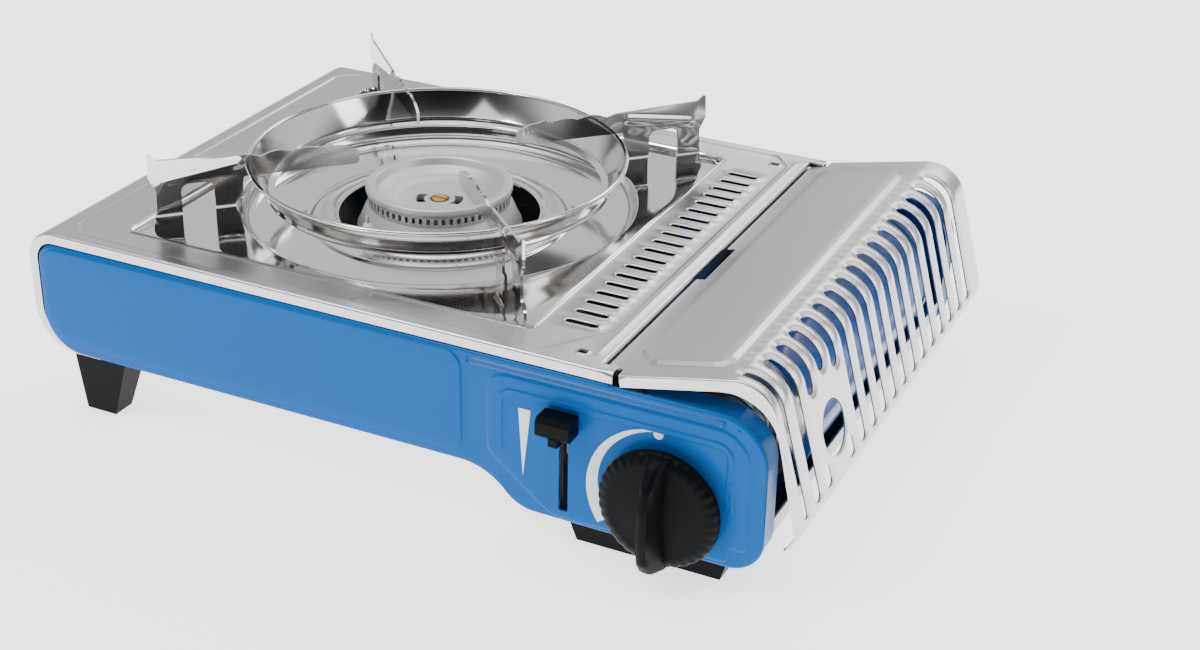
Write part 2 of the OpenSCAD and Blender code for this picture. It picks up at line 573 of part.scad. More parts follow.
place() top_shell();
place() front_panel();
place() rear_panel();
place() base_pan();
place() bulkhead();
place() foot_front_left();
place() foot_rear_left();
place() foot_front_right();
place() foot_rear_right();
place() foot_screws();
place() hinge_lugs();
place() hinge_pins();
place() burner_base();
place() burner_head();
place() burner_screw();
place() burner_bracket();
place() mixing_tube();
place() injector();
place() injector_bracket();
place() gas_pipe();
place() regulator_body();
place() regulator_cap();
place() regulator_bracket();
place() regulator_screws();
place() piezo_igniter();
place() ignition_lead();
place() electrode_insulator();
place() electrode_pin();
place() electrode_bracket();
place() cartridge_saddles();
place() lever_guide();
place() spindle_spring();
place() lid();
place() push_collar();
place() valve_spindle();
place() igniter_cam();
place() knob();
place() lever_arm();
place() lever_cap();
place() cartridge_can();
place() cartridge_dome();
place() cartridge_valve();
place() cartridge_hook();
place() hook_pin();
place() drip_tray();
place() wind_ring();
place() fin_front_left();
place() fin_rear_left();
place() fin_front_right();
place() fin_rear_right();
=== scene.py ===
import json
import math

import bpy
import numpy as np
from mathutils import Matrix, Vector
from mathutils.geometry import delaunay_2d_cdt


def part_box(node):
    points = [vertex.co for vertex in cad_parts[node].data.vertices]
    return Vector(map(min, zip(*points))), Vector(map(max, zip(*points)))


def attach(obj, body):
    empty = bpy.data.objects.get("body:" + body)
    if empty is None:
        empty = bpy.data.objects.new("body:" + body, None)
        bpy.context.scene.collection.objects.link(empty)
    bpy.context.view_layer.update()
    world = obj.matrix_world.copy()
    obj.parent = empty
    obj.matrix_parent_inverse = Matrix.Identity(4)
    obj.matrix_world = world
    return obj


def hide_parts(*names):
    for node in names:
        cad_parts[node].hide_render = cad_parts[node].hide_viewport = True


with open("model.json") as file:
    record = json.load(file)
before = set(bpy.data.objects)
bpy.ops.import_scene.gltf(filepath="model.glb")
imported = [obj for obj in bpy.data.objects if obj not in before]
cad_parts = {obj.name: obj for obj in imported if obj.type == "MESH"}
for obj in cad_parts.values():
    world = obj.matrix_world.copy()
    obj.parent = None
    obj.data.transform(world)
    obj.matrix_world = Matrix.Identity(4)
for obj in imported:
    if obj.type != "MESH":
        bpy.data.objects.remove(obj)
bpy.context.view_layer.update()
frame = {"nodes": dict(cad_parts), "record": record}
nodes = frame["nodes"]

# Everything below is in millimetres from the burner's axis and the ground, turned into the row frame by at()
low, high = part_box("burner_head")
AXIS = np.array([low.x + high.x, low.y + high.y, 0.0]) / 2


def at(points):
    return np.asarray(points, float) / 1000 + AXIS


# ---------------------------------------------------------------- camera
azimuth, elevation, roll = (math.radians(v) for v in (25.27, 27.38, 1.18))
back = Vector((math.sin(azimuth) * math.cos(elevation), -math.cos(azimuth) * math.cos(elevation),
               math.sin(elevation)))
right = Vector((math.cos(azimuth), math.sin(azimuth), 0))
up = back.cross(right)
axis_x = right * math.cos(roll) + up * math.sin(roll)
axis_y = up * math.cos(roll) - right * math.sin(roll)
place = at((409.55, -699.08, 435.79))
camera = bpy.data.objects.new("camera", bpy.data.cameras.new("camera"))
camera.data.lens = 59.83
camera.data.sensor_width = 36
camera.data.clip_end = 50
camera.matrix_world = Matrix([[axis_x[i], axis_y[i], back[i], place[i]] for i in range(3)] + [[0, 0, 0, 1]])
bpy.context.scene.collection.objects.link(camera)
bpy.context.scene.camera = camera


# ---------------------------------------------------------------- materials
def material(name, color, metallic=0.0, rough=0.4, grain=None, bump=0.0, mottle=0.06, coat=0.0,
             bump_scale=900.0, gloss=0.5):
    """A principled finish. grain stretches the noise along that axis, and mottle varies the roughness."""
    m = bpy.data.materials.new(name)
    m.use_nodes = True
    tree = m.node_tree
    shader = next(n for n in tree.nodes if n.type == "BSDF_PRINCIPLED")
    shader.inputs["Base Color"].default_value = (*color, 1)
    shader.inputs["Metallic"].default_value = metallic
    shader.inputs["Roughness"].default_value = rough
    shader.inputs["Specular IOR Level"].default_value = gloss
    if coat:
        shader.inputs["Coat Weight"].default_value = coat
        shader.inputs["Coat Roughness"].default_value = 0.08
    where = tree.nodes.new("ShaderNodeTexCoord")
    stretch = tree.nodes.new("ShaderNodeMapping")
    scale = [bump_scale] * 3
    if grain is not None:
        scale[grain] = bump_scale / 40
    stretch.inputs["Scale"].default_value = scale
    tree.links.new(where.outputs["Object"], stretch.inputs["Vector"])
    fine = tree.nodes.new("ShaderNodeTexNoise")
    fine.inputs["Scale"].default_value = 1.0
    fine.inputs["Detail"].default_value = 3.0
    tree.links.new(stretch.outputs["Vector"], fine.inputs["Vector"])
    if bump:
        lift = tree.nodes.new("ShaderNodeBump")
        lift.inputs["Strength"].default_value = bump
        lift.inputs["Distance"].default_value = 0.0002
        tree.links.new(fine.outputs["Fac"], lift.inputs["Height"])
        tree.links.new(lift.outputs["Normal"], shader.inputs["Normal"])
    if mottle:
        broad = tree.nodes.new("ShaderNodeTexNoise")
        broad.inputs["Scale"].default_value = 28.0
        broad.inputs["Detail"].default_value = 4.0
        tree.links.new(where.outputs["Object"], broad.inputs["Vector"])
        spread = tree.nodes.new("ShaderNodeMapRange")
        spread.inputs["To Min"].default_value = max(0.03, rough - mottle)
        spread.inputs["To Max"].default_value = rough + mottle
        tree.links.new(broad.outputs["Fac"], spread.inputs["Value"])
        tree.links.new(spread.outputs["Result"], shader.inputs["Roughness"])
    return m


STEEL = material("steel_satin", (0.66, 0.65, 0.645), 1.0, 0.30, grain=1, bump=0.06)
POLISHED = material("steel_polished", (0.72, 0.71, 0.70), 1.0, 0.10, bump=0.02, mottle=0.03)
BLUE = material("blue_enamel", (0.0, 0.105, 0.39), 0.0, 0.22, bump=0.02, mottle=0.03, gloss=0.11)
ZINC = material("zinc_plate", (0.50, 0.50, 0.51), 1.0, 0.36, bump=0.05)
PLASTIC = material("black_plastic", (0.0025, 0.003, 0.004), 0.0, 0.42, bump=0.12, bump_scale=2600.0,
                   gloss=0.07)
CAST = material("cast_aluminium", (0.62, 0.62, 0.61), 0.85, 0.5, bump=0.35, bump_scale=2200.0)
BRASS = material("brass", (0.72, 0.46, 0.16), 1.0, 0.25, bump=0.03)
CERAMIC = material("white_ceramic", (0.82, 0.81, 0.78), 0.0, 0.2, bump=0.02)
SCREW = material("screw_steel", (0.66, 0.66, 0.66), 1.0, 0.26, bump=0.03)
SLEEVE = material("lead_sleeve", (0.42, 0.03, 0.03), 0.0, 0.5, bump=0.05)
CAN = material("can_lacquer", (0.01, 0.10, 0.42), 0.0, 0.3, bump=0.02, coat=0.4)
TIN = material("tinplate", (0.62, 0.62, 0.62), 1.0, 0.24, bump=0.03)
WHITE = material("white_print", (0.80, 0.84, 0.87), 0.0, 0.42, bump=0.02)
SLOTS = {"stainless_brushed": STEEL, "stainless_polished": POLISHED, "blue_paint": BLUE, "zinc_plate": ZINC,
         "black_plastic": PLASTIC, "cast_aluminium": CAST, "brass": BRASS, "white_ceramic": CERAMIC,
         "screw_steel": SCREW, "lead_sleeve": SLEEVE, "can_paint": CAN, "can_tinplate": TIN}
slot_of = {part["node"]: part["material_slot"] for part in frame["record"]["subparts"]}


# ---------------------------------------------------------------- mesh helpers
def shade(ob, angle=32):
    mesh = ob.data
    mesh.polygons.foreach_set("use_smooth", [True] * len(mesh.polygons))
    mesh.set_sharp_from_angle(angle=math.radians(angle))


def settle(ob, angle=32):
    """Applies the piece's modifiers, then shades it smooth with sharp edges above the angle."""
    done = bpy.data.meshes.new_from_object(ob.evaluated_get(bpy.context.evaluated_depsgraph_get()))
    ob.modifiers.clear()
    ob.data = done
    shade(ob, angle)


def piece(name, vertices, faces, finish, body, replaced=(), thick=0.0, angle=32):
    """A mesh from millimetre vertices; thick gives a sheet its thickness, behind its outer face."""
    mesh = bpy.data.meshes.new(name)
    mesh.from_pydata(at(vertices).tolist(), [], [list(map(int, f)) for f in faces])
    mesh.update()
    ob = bpy.data.objects.new(name, mesh)
    bpy.context.scene.collection.objects.link(ob)
    if thick:
        solid = ob.modifiers.new("thickness", "SOLIDIFY")
        solid.thickness = thick / 1000
        solid.offset = -1
        solid.use_even_offset = True
        solid.use_quality_normals = True
    settle(ob, angle)
    ob.data.materials.clear()
    ob.data.materials.append(finish)
    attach(ob, body)
    if replaced:
        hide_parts(*replaced)
    return ob


def arc(cx, cy, r, a0, a1, n=10):
    a = np.radians(np.linspace(a0, a1, n + 1))
    return np.stack([cx + r * np.cos(a), cy + r * np.sin(a)], 1)


def fine(line, step):
    """The same open line with no segment longer than step."""
    out = [line[0]]
    for p, q in zip(line[:-1], line[1:]):
        n = max(1, int(math.ceil(np.linalg.norm(q - p) / step)))
        out += [p + (q - p) * k / n for k in range(1, n + 1)]
    return np.array(out)


def closed(loop, step=3.0):
    return fine(np.vstack([loop, loop[:1]]), step)[:-1]


def rounded(x0, x1, y0, y1, r, n=6):
    """A rectangle with rounded corners, counter-clockwise."""
    return np.vstack([arc(x1 - r, y0 + r, r, -90, 0, n), arc(x1 - r, y1 - r, r, 0, 90, n),
                      arc(x0 + r, y1 - r, r, 90, 180, n), arc(x0 + r, y0 + r, r, 180, 270, n)])


def normals(line, loop=True):
    """Outward normals of a counter-clockwise loop, or right-hand normals of an open line, with mitres."""
    if loop:
        before, after = line - np.roll(line, 1, 0), np.roll(line, -1, 0) - line
    else:
        edge = line[1:] - line[:-1]
        before, after = np.vstack([edge[:1], edge]), np.vstack([edge, edge[-1:]])
    before, after = (np.stack([e[:, 1], -e[:, 0]], 1) / (np.linalg.norm(e, axis=1, keepdims=True) + 1e-12)
                     for e in (before, after))
    both = before + after
    both /= np.linalg.norm(both, axis=1, keepdims=True) + 1e-12
    return both / np.clip((both * after).sum(1, keepdims=True), 0.5, 1)


def offset(loop, d):
    return loop + normals(loop) * d


def within(points, loop):
    out = np.zeros(len(points), bool)
    near = np.where(((points >= loop.min(0)) & (points <= loop.max(0))).all(1))[0]
    if len(near):
        p, hit = points[near], np.zeros(len(near), bool)
        for a, b in zip(loop, np.roll(loop, -1, 0)):
            if a[1] != b[1]:
                cross = (a[1] > p[:, 1]) != (b[1] > p[:, 1])
                hit ^= cross & (p[:, 0] < (b[0] - a[0]) * (p[:, 1] - a[1]) / (b[1] - a[1]) + a[0])
        out[near] = hit
    return out


def gap_to(points, loop, reach):
    """Distance from each point to a closed loop, cut off at reach."""
    out = np.full(len(points), float(reach))
    near = np.where(((points >= loop.min(0) - reach) & (points <= loop.max(0) + reach)).all(1))[0]
    p = points[near]
    best = np.full(len(near), float(reach))
    for a, b in zip(loop, np.roll(loop, -1, 0)):
        d = b - a
        t = np.clip(((p - a) @ d) / (d @ d + 1e-12), 0, 1)
        best = np.minimum(best, np.linalg.norm(p - a - t[:, None] * d, axis=1))
    out[near] = best
    return out


def height(points, features):
    """Pressed height of flat points. A feature is a loop, distances inside it and the heights there."""
    h = np.zeros(len(points))
    for loop, where, rise in features:
        reach = max(abs(where[0]), abs(where[-1])) + 1
        d = gap_to(points, loop, reach)
        h += np.interp(np.where(within(points, loop), d, -d), where, rise)
    return h


def pressed(name, outline, holes, features, us, vs, bend, finish, body, replaced=(), thick=0.8, angle=32):
    """A pressed sheet: the flat outline and its holes, meshed along every step, then shaped by bend."""
    points, edges, rings = [], [], []

    def add(loop):
        start, n = len(points), len(loop)
        points.extend(loop.tolist())
        edges.extend((start + i, start + (i + 1) % n) for i in range(n))
        rings.append(loop)

    for loop in [outline, *holes]:
        add(loop)
    for loop, where, _ in features:
        for x in where:
            if x:
                add(offset(loop, -x))
            elif not any(loop is h for h in holes) and loop is not outline:
                add(loop)
    grid = np.array([(u, v) for u in us for v in vs], float)
    keep = within(grid, outline)
    for hole in holes:
        keep &= ~within(grid, hole)
    grid = grid[keep]
    for loop in rings:
        grid = grid[gap_to(grid, loop, 0.5) >= 0.5]
    points.extend(grid.tolist())
    flat, _, faces, _, _, _ = delaunay_2d_cdt([Vector(p) for p in points], edges, [], 0, 1e-5, False)
    flat = np.array([tuple(p) for p in flat])
    faces = np.array([f for f in faces if len(f) == 3])
    middle = flat[faces].mean(1)
    keep = within(middle, outline)
    for hole in holes:
        keep &= ~within(middle, hole)
    faces = faces[keep]
    a, b, c = (flat[faces[:, k]] for k in range(3))
    area = (b[:, 0] - a[:, 0]) * (c[:, 1] - a[:, 1]) - (b[:, 1] - a[:, 1]) * (c[:, 0] - a[:, 0])
    faces = faces[np.abs(area) > 1e-7]
    used, index = np.unique(faces, return_inverse=True)
    faces, flat = index.reshape(-1, 3), flat[used]
    shape = bend(flat, height(flat, features))
    above = bend(flat, height(flat, features) + 1) - shape
    a, b, c = (shape[faces[:, k]] for k in range(3))
    if (np.cross(b - a, c - a) * above[faces[:, 0]]).sum() < 0:
        faces = faces[:, ::-1]
    return piece(name, shape, faces, finish, body, replaced, thick, angle)


def swept(name, line, profile, lay, finish, body, loop=False, thick=0.0, replaced=(), flip=False, angle=32):
    """A profile of (outward, across) pairs swept along a line. lay places (line point, across)."""
    n, side = len(line), normals(line, loop)
    vertices = np.vstack([lay(line + side * out, across) for out, across in profile])
    faces = []
    for k in range(len(profile) - 1):
        for i in range(n if loop else n - 1):
            j = (i + 1) % n
            quad = [k * n + i, k * n + j, (k + 1) * n + j, (k + 1) * n + i]
            faces.append(quad[::-1] if flip else quad)
    return piece(name, vertices, faces, finish, body, replaced, thick, angle)


def level(points, z):
    return np.column_stack([points, np.full(len(points), float(z))])


def upright(points, y):
    return np.column_stack([points[:, 0], np.full(len(points), float(y)), points[:, 1]])


def lathed(name, profile, finish, body, replaced=(), seg=144, axis=(0.0, 0.0), along="z", angle=32,
           wave=None):
    """A profile of (radius, height) pairs turned about an upright axis, or about one along Y."""
    profile = np.array(profile, float)
    turn = np.linspace(0, 2 * math.pi, seg, endpoint=False)
    vertices = []
    for r, z in profile:
        rr = r + (wave(turn, r, z) if wave else 0)
        a, b = rr * np.cos(turn), rr * np.sin(turn)
        vertices.append(np.column_stack([axis[0] + a, axis[1] + b, np.full(seg, z)]) if along == "z"
                        else np.column_stack([axis[0] + a, np.full(seg, z), axis[1] + b]))
    vertices = np.vstack(vertices)
    faces = [(k * seg + i, k * seg + (i + 1) % seg, (k + 1) * seg + (i + 1) % seg, (k + 1) * seg + i)
             for k in range(len(profile) - 1) for i in range(seg)]
    return piece(name, vertices, faces, finish, body, replaced, 0.0, angle)


# ---------------------------------------------------------------- the casing's top sheet
TOP, SEAM, SHEET, FRONT = 82.5, 133.0, 0.8, -115.0
TOP_R, FOOT_R, LOW_Z, LEFT = 13.4, 20.0, 27.0, -134.0


def path_of(pieces):
    """Position and outward normal along a chain of lines (x, z) and arcs (cx, cz, r, a0, a1), by length."""
    where, total = [], 0.0
    for p in pieces:
        if len(p) == 4:
            length = math.hypot(p[2] - p[0], p[3] - p[1])
        else:
            length = p[2] * math.radians(abs(p[4] - p[3]))
        where.append((total, total + length, p))
        total += length

    def follow(u):
        x, z, nx, nz = (np.zeros(len(u)) for _ in range(4))
        for k, (start, end, p) in enumerate(where):
            started = u >= start if k else np.ones(len(u), bool)
            unended = u < end if k < len(where) - 1 else np.ones(len(u), bool)
            on = started & unended
            t = u[on] - start
            if len(p) == 4:
                dx, dz = (p[2] - p[0]) / (end - start), (p[3] - p[1]) / (end - start)
                x[on], z[on] = p[0] + dx * t, p[1] + dz * t
                nx[on], nz[on] = follow.side * -dz, follow.side * dx
            else:
                a = np.radians(p[3] + (p[4] - p[3]) * t / (end - start))
                x[on], z[on] = p[0] + p[2] * np.cos(a), p[1] + p[2] * np.sin(a)
                nx[on], nz[on] = np.cos(a), np.sin(a)
        return x, z, nx, nz

    follow.side, follow.total, follow.stops = 1.0, total, [w[0] for w in where] + [total]
    return follow


def folded(follow, flat_half, radius):
    """Bends a flat sheet along a path, with its two long edges turned down over the given radius."""
    turn = radius * math.pi / 2

    def bend(points, h):
        x, z, nx, nz = follow(points[:, 0])
        v = np.abs(points[:, 1])
        a = np.clip((v - flat_half) / radius, 0, math.pi / 2)
        inset = radius * (1 - np.cos(a)) + np.clip(v - flat_half - turn, 0, None)
        y = np.minimum(v, flat_half) + radius * np.sin(a)
        face, edge = np.cos(a), np.sin(a)
        return np.column_stack([x + nx * (face * h - inset), np.sign(points[:, 1]) * (y + edge * h),
                                z + nz * (face * h - inset)])

    return bend


EDGE_R = 1.2
FLAT = -FRONT - EDGE_R
HALF = FLAT + EDGE_R * math.pi / 2 + 4.6 - EDGE_R
over = path_of([(SEAM, TOP, LEFT + TOP_R, TOP), (LEFT + TOP_R, TOP - TOP_R, TOP_R, 90, 180),
                (LEFT, TOP - TOP_R, LEFT, LOW_Z + FOOT_R),
                (LEFT + FOOT_R, LOW_Z + FOOT_R, FOOT_R, 180, 270),
                (LEFT + FOOT_R, LOW_Z, -100, LOW_Z)])
over.side = -1.0
RECESS = 95.7
lip_line = rounded(-RECESS, RECESS, -RECESS, RECESS, 3)


def to_sheet(loop):
    """Top-plate x, y to sheet coordinates; the mirror keeps the loop counter-clockwise when reversed."""
    return np.column_stack([SEAM - loop[:, 0], loop[:, 1]])[::-1]


def slit(x0, x1, y, half, n=6):
    return np.vstack([arc(x1 - half, y, half, -90, 90, n), arc(x0 + half, y, half, 90, 270, n)])


tab = 6.2
sheet_outline = closed(np.array([
    (1.2, -109.4), (-tab, -109.4), (-tab, -HALF), (over.total, -HALF), (over.total, HALF), (-tab, HALF),
    (-tab, 109.4), (1.2, 109.4)], float), 3.0)
VENT_X, VENT_PITCH = 111.2, 9.1
vents = [to_sheet(slit(VENT_X - 7, VENT_X + 7, -1.5 + (i - 9) * VENT_PITCH, 1.5)) for i in range(19)]
lugs = [to_sheet(rounded(x - 2, x + 2, y - 1.5, y + 1.5, 0.6, 3)) for x,
        y in ((122.4, FRONT + 10), (119.5, -FRONT - 15))]
foot_holes = [arc(over.stops[4] + 8, y, 2, 0, 330, 11) for y in (-106.5, 106.5)]
recess_hole = to_sheet(closed(offset(lip_line, 1.8), 4))
field = to_sheet(closed(np.array([(-118, -100), (-109, -109), (107, -109), (125.2, -84), (125.2, 100),
                                  (117, 109.5), (-110, 109.5), (-118, 102)], float), 4))
seam_bead = to_sheet(closed(rounded(127.2, 128.8, -104, 106, 0.78, 3), 4))
features = [(v, (-1.9, -1.2, -0.5, 0), (0, 0.25, 0.45, 0.15)) for v in vents]
features += [(l, (-1.2, -0.7, 0), (0, 0.35, 0.45)) for l in lugs]
features += [(field, (-0.9, -0.4, 0.4, 0.9), (0, -0.06, -0.54, -0.6)),
             (seam_bead, (-0.5, 0, 0.4), (0, 0.1, 0.35))]
us = np.concatenate([np.arange(-tab, over.stops[1], 6), np.arange(over.stops[1], over.stops[2], 1.2),
                     np.arange(over.stops[2], over.stops[3], 5), np.arange(over.stops[3], over.total, 1.5)])
round_v = np.array([-0.5, 0, 0.3, 0.65, 1.0, 1.3, 1.6, 1.885, 2.4]) + FLAT
vs = np.concatenate([-round_v[::-1], np.arange(-108, 109, 6), round_v])
pressed("casing_top", sheet_outline, [recess_hole, *vents, *lugs, *foot_holes], features, us, vs,
        folded(over, FLAT, EDGE_R),
        STEEL, "casing", ["top_shell"], SHEET)
swept("casing_recess_edge", closed(lip_line, 4), [(2.0, 82.0), (1.8, 82.0), (1.5, 82.35), (0.9, 82.5),
                                                  (0.3, 82.4), (0.0, 82.0),
      (0.0, 79.3), (-0.5, 78.8), (-5, 78.8)], level, POLISHED, "casing", loop=True, thick=SHEET)
swept("casing_seam_edge", np.array([(131.8, TOP), (132.3, TOP - 0.1), (132.7, TOP - 0.35),
                                    (132.92, TOP - 0.75), (133, TOP - 1.2),
      (133, 76.5)]), [(0, -109), (0, 109)], upright, STEEL, "casing", thick=SHEET)

# ---------------------------------------------------------------- blue panels
FIELD_Y = -115.6
FIELD_TOP, FIELD_RIGHT, FIELD_LEFT = 77.0, 202.3, LEFT + 5.1
BAY_Z, DROP_X, DROP_R1, DROP_R2 = 12.0, 74.0, 27.0, 18.0
DROP_A = math.degrees(math.acos(1 - (LOW_Z - BAY_Z) / (DROP_R1 + DROP_R2)))
drop_end = DROP_X + (DROP_R1 + DROP_R2) * math.sin(math.radians(DROP_A))
# Clockwise in x, z seen from the front: start at the seam's step and go left, round and back
panel_line = np.vstack([
    [(138, FIELD_TOP), (138, TOP - 5.1)], arc(FIELD_LEFT + 9, TOP - 14.1, 9, 90, 180, 10),
    arc(FIELD_LEFT + 18, LOW_Z + 18.5, 18, 180, 270, 14),
    arc(DROP_X, LOW_Z + 0.5 - DROP_R1, DROP_R1, 90, 90 - DROP_A, 10),
    arc(drop_end, BAY_Z + 0.5 + DROP_R2, DROP_R2, 270 - DROP_A, 270, 10),
    arc(FIELD_RIGHT - 14, BAY_Z + 14, 14, 270, 360, 12),
    arc(FIELD_RIGHT - 20, FIELD_TOP - 20, 20, 0, 90, 14)])
panel_line = closed(panel_line, 3)
KNOB_X, KNOB_Z = 162.5, 34.0


LEDGE_RISE = 0.7


def both_panels():
    hole = arc(KNOB_X, KNOB_Z, 8, 0, 350, 35)
    slot_hole = rounded(118.25, 122.15, 17.7, 61.5, 0.8, 3)
    left_field = closed(np.vstack([
        arc(FIELD_LEFT + 16.5, LOW_Z + 18.5, 14, 180, 270, 9), arc(69.6, LOW_Z + 10.5, 6, 270, 360, 6),
        arc(68.6, FIELD_TOP - 8.2, 7, 0, 90, 7), arc(FIELD_LEFT + 10.5, FIELD_TOP - 9.2, 8, 90, 180, 7)]),
        3)
    ledge = closed(np.vstack([
        arc(95, 63, 8, 90, 180, 6), arc(95, 40, 8, 180, 230, 5), arc(121, 31, 17, 235, 262, 5),
        [(150, 14.8)],
        arc(186, 17.6, 3.0, 270, 350, 5), [(189.2, 21.5)], arc(191.8, 25, 4.6, 300, 360, 4),
        arc(182, 57, 14, 0, 88, 10)]), 3)
    # Double ridges: one along the top edge, and one round three sides of the controls
    top_ridge = closed(rounded(77.5, 185.5, 72.0, 74.8, 1.39, 4), 3)
    round_line = np.vstack([[(92.6, 38.5)], arc(98.6, 58.6, 6, 180, 90, 6), arc(182.4, 58.6, 6, 90, 0, 6),
                            [(188.4, 37)]])
    round_line = fine(round_line, 3)
    side = normals(round_line, loop=False)
    ridge = np.vstack([round_line - side * 1.2, (round_line + side * 1.2)[::-1]])
    dimple = closed(arc(190.4, 71.4, 1.0, 0, 330, 11), 3)
    steps = [(panel_line, (0, 0.35, 0.9, 1.5), (-1.3, -0.5, -0.1, 0)),
             (left_field, (-0.6, -0.2, 0.3, 0.7), (0, 0.1, 0.75, 0.85)),
             (ledge, (-0.6, -0.2, 0.3, 0.7), (0, 0.1, 0.6, LEDGE_RISE)),
             (dimple, (-0.3, 0, 0.5), (0, 0.2, 0.4))]
    steps += [(b, (-0.25, 0.35, 0.8, 1.1), (0, 0.6, 0.1, 0.1)) for b in (top_ridge, ridge)]
    us, vs = np.arange(-130, 203, 6), np.arange(14, 80, 6)
    for name, sign, holes in (("front", 1, [hole, slot_hole]), ("rear", -1, [])):
        def bend(p, h):
            return np.column_stack([p[:, 0], sign * (FIELD_Y - h), p[:, 1]])
        pressed(name + "_panel_face", panel_line, holes, steps, us, vs, bend, BLUE, "casing",
                [name + "_panel"] if name == "front" else ["rear_panel"], SHEET)
        around = panel_line[(panel_line[:, 0] > 150)]
        around = around[np.argsort(np.arctan2(around[:, 1] - 45, around[:, 0] - 150))]
        around = around[around[:, 1] > 22]
        swept(name + "_panel_return", around, [(-0.05, sign * -114.6), (-0.3, sign * -113.4),
                                               (-0.3, sign * -103.9)], upright,
              BLUE, "casing", flip=sign > 0, thick=0.7)


both_panels()

# ---------------------------------------------------------------- lid, drawn shut and turned about its hinge
HINGE_X, HINGE_Z, AJAR = 143.0, 79.2, math.radians(12)
LID_RIGHT, LID_R, LID_LEAN, CURL_R, CURL_Z = 206.2, 16.0, 3.5, 9.0, 24.0
LID_X = LID_RIGHT - (LID_R + (TOP - LID_R - CURL_Z) * math.tan(math.radians(LID_LEAN)))
lean_c, lean_s = math.cos(math.radians(LID_LEAN)), math.sin(math.radians(LID_LEAN))
curl_x = LID_RIGHT - CURL_R
side_top = (LID_X + LID_R * lean_c, TOP - LID_R + LID_R * lean_s)
side_foot = (curl_x + CURL_R * lean_c, CURL_Z + CURL_R * lean_s)
curl_end = (curl_x + CURL_R * math.cos(math.radians(45)), CURL_Z - CURL_R * math.sin(math.radians(45)))
down = path_of([(134.3, TOP, LID_X, TOP), (LID_X, TOP - LID_R, LID_R, 90, LID_LEAN),
                (*side_top, *side_foot),
                (curl_x, CURL_Z, CURL_R, LID_LEAN, -45), (*curl_end, 198.5, 12.6)])
LID_EDGE = 0.9
LID_FLAT = -FRONT - LID_EDGE
lid_turn = LID_EDGE * math.pi / 2


def open_lid(points):
    dx, dz = points[:, 0] - HINGE_X, points[:, 2] - HINGE_Z
    return np.column_stack([HINGE_X + dx * math.cos(AJAR) - dz * math.sin(AJAR), points[:, 1],
                            HINGE_Z + dx * math.sin(AJAR) + dz * math.cos(AJAR)])


def u_at_x(x):
    return down.stops[1] + LID_R * math.asin((x - LID_X) / LID_R) if x > LID_X else x - 134.3


def u_at_z(z):
    return down.stops[2] + (side_top[1] - z) / lean_c


def rim_width(u):
    """How wide the turned-down rim is, from the lid's outer line to just outside the panel."""
    x, z, nx, nz = down(np.array([u]))
    for t in np.arange(LID_EDGE, 9, 0.1):
        px, pz = x[0] - nx[0] * t, z[0] - nz[0] * t
        inside = px < FIELD_RIGHT + 0.5 and pz < FIELD_TOP + 0.7
        if inside and px > FIELD_RIGHT - 20 and pz > FIELD_TOP - 20:
            inside = math.hypot(px - FIELD_RIGHT + 20, pz - FIELD_TOP + 20) < 20.6
        if inside:
            return float(t)
    return LID_EDGE


SLOT_COUNT, FIRST_SLOT_Y, SLOT_PITCH, GRIP_SLOT = 17, -107.2, 12.77, 3
SLOT_FOOT_Z, GRIP_FOOT_Z, BESIDE_GRIP_Z, FINGER_Z, FINGER_R = 23, 65.5, 61.5, 42, 11


